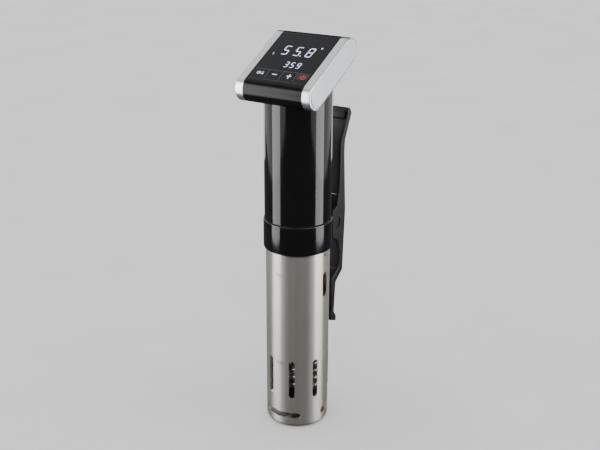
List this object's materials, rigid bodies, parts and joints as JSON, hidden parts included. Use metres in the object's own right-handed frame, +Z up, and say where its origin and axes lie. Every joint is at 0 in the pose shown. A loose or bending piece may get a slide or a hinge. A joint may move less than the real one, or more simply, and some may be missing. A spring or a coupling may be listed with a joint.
{
  "type": "sous vide circulator",
  "caption": "Stick-shaped immersion circulator with a slotted steel sleeve, a tilted touch display head and a sprung clamp for a pot's rim.",
  "frame": {"origin": "centre of the sleeve's flat base, on the sleeve's axis", "axes": "+Z up the stick, -Y towards the side that the display faces, +Y towards the rim clamp, +X to the right when looking along +Y"},
  "size_m": [0.0764, 0.1109, 0.3717],
  "materials": {
    "brushed_steel": "circumferentially brushed stainless steel",
    "gloss_black": "polished black moulding",
    "black_glass": "back-painted black touch glass, polished",
    "cap_silver": "fine-brushed silver",
    "plate_silver": "satin silver",
    "black_plastic": "satin black moulding",
    "black_rubber": "matte black silicone",
    "steel": "plain steel",
    "black_steel": "blackened steel pin",
    "spring_steel": "bright drawn wire",
    "heater_steel": "polished heater tube",
    "circuit_board": "solder-masked board",
    "component_black": "component moulding",
    "component_metal": "plain aluminium",
    "copper": "enamelled winding",
    "white_plastic": "white moulding",
    "natural_plastic": "natural low-friction plastic"
  },
  "bodies": {
    "root": {"collar": "gloss_black", "seam_ring": "black_rubber", "upper_housing": "gloss_black", "cord_gland": "black_rubber", "gland_nut": "black_plastic", "head_shell": "gloss_black", "left_end_cap": "cap_silver", "right_end_cap": "cap_silver", "left_side_plate": "plate_silver", "right_side_plate": "plate_silver", "cap_screws": "steel", "glass_tape": "black_rubber", "display_glass": "black_glass", "control_board": "circuit_board", "board_screws": "steel", "display_module": "component_black", "key_sensors": "spring_steel", "buzzer": "component_black", "head_screws": "steel", "power_board": "circuit_board", "transformer": "copper", "relay": "component_black", "capacitor": "component_metal", "triac_heatsink": "component_metal", "ribbon_cable": "white_plastic", "motor_mount": "black_plastic", "motor_can": "steel", "motor_screws": "steel", "heater_carrier": "black_plastic", "carrier_seal": "black_rubber", "carrier_screws": "steel", "sleeve_detents": "black_rubber", "shaft_seal": "black_rubber", "shaft_tube": "steel", "shaft_bushes": "natural_plastic", "heater_coil": "heater_steel", "heater_nuts": "steel", "thermal_cutout": "component_metal", "temperature_probe": "steel", "level_probes": "steel", "clamp_bracket": "black_plastic", "bracket_screws": "steel", "clamp_pin": "black_steel", "clamp_spring": "spring_steel"},
    "sleeve": {"sleeve": "brushed_steel"},
    "clamp": {"clamp_lever": "black_plastic", "jaw_pad": "black_rubber"},
    "pump": {"motor_rotor": "copper", "motor_shaft": "steel", "shaft_coupling": "steel", "drive_shaft": "steel", "impeller": "black_plastic", "impeller_nut": "steel"}
  },
  "joints": [
    {"name": "clamp_pivot", "type": "hinge", "parent": "root", "child": "clamp", "pos_m": [0, 0.0446, 0.1909], "axis": [1, 0, 0], "range_deg": [0, 12], "stiffness_Nm_per_rad": 0.8, "springref_deg": -40.11, "deforming": ["clamp_spring"]},
    {"name": "sleeve_pull", "type": "slide", "parent": "root", "child": "sleeve", "axis": [0, 0, -1], "range_m": [0, 0.19]},
    {"name": "pump_spin", "type": "hinge", "parent": "root", "child": "pump", "pos_m": [0, 0, 0.1], "axis": [0, 0, 1], "continuous": true}
  ]
}
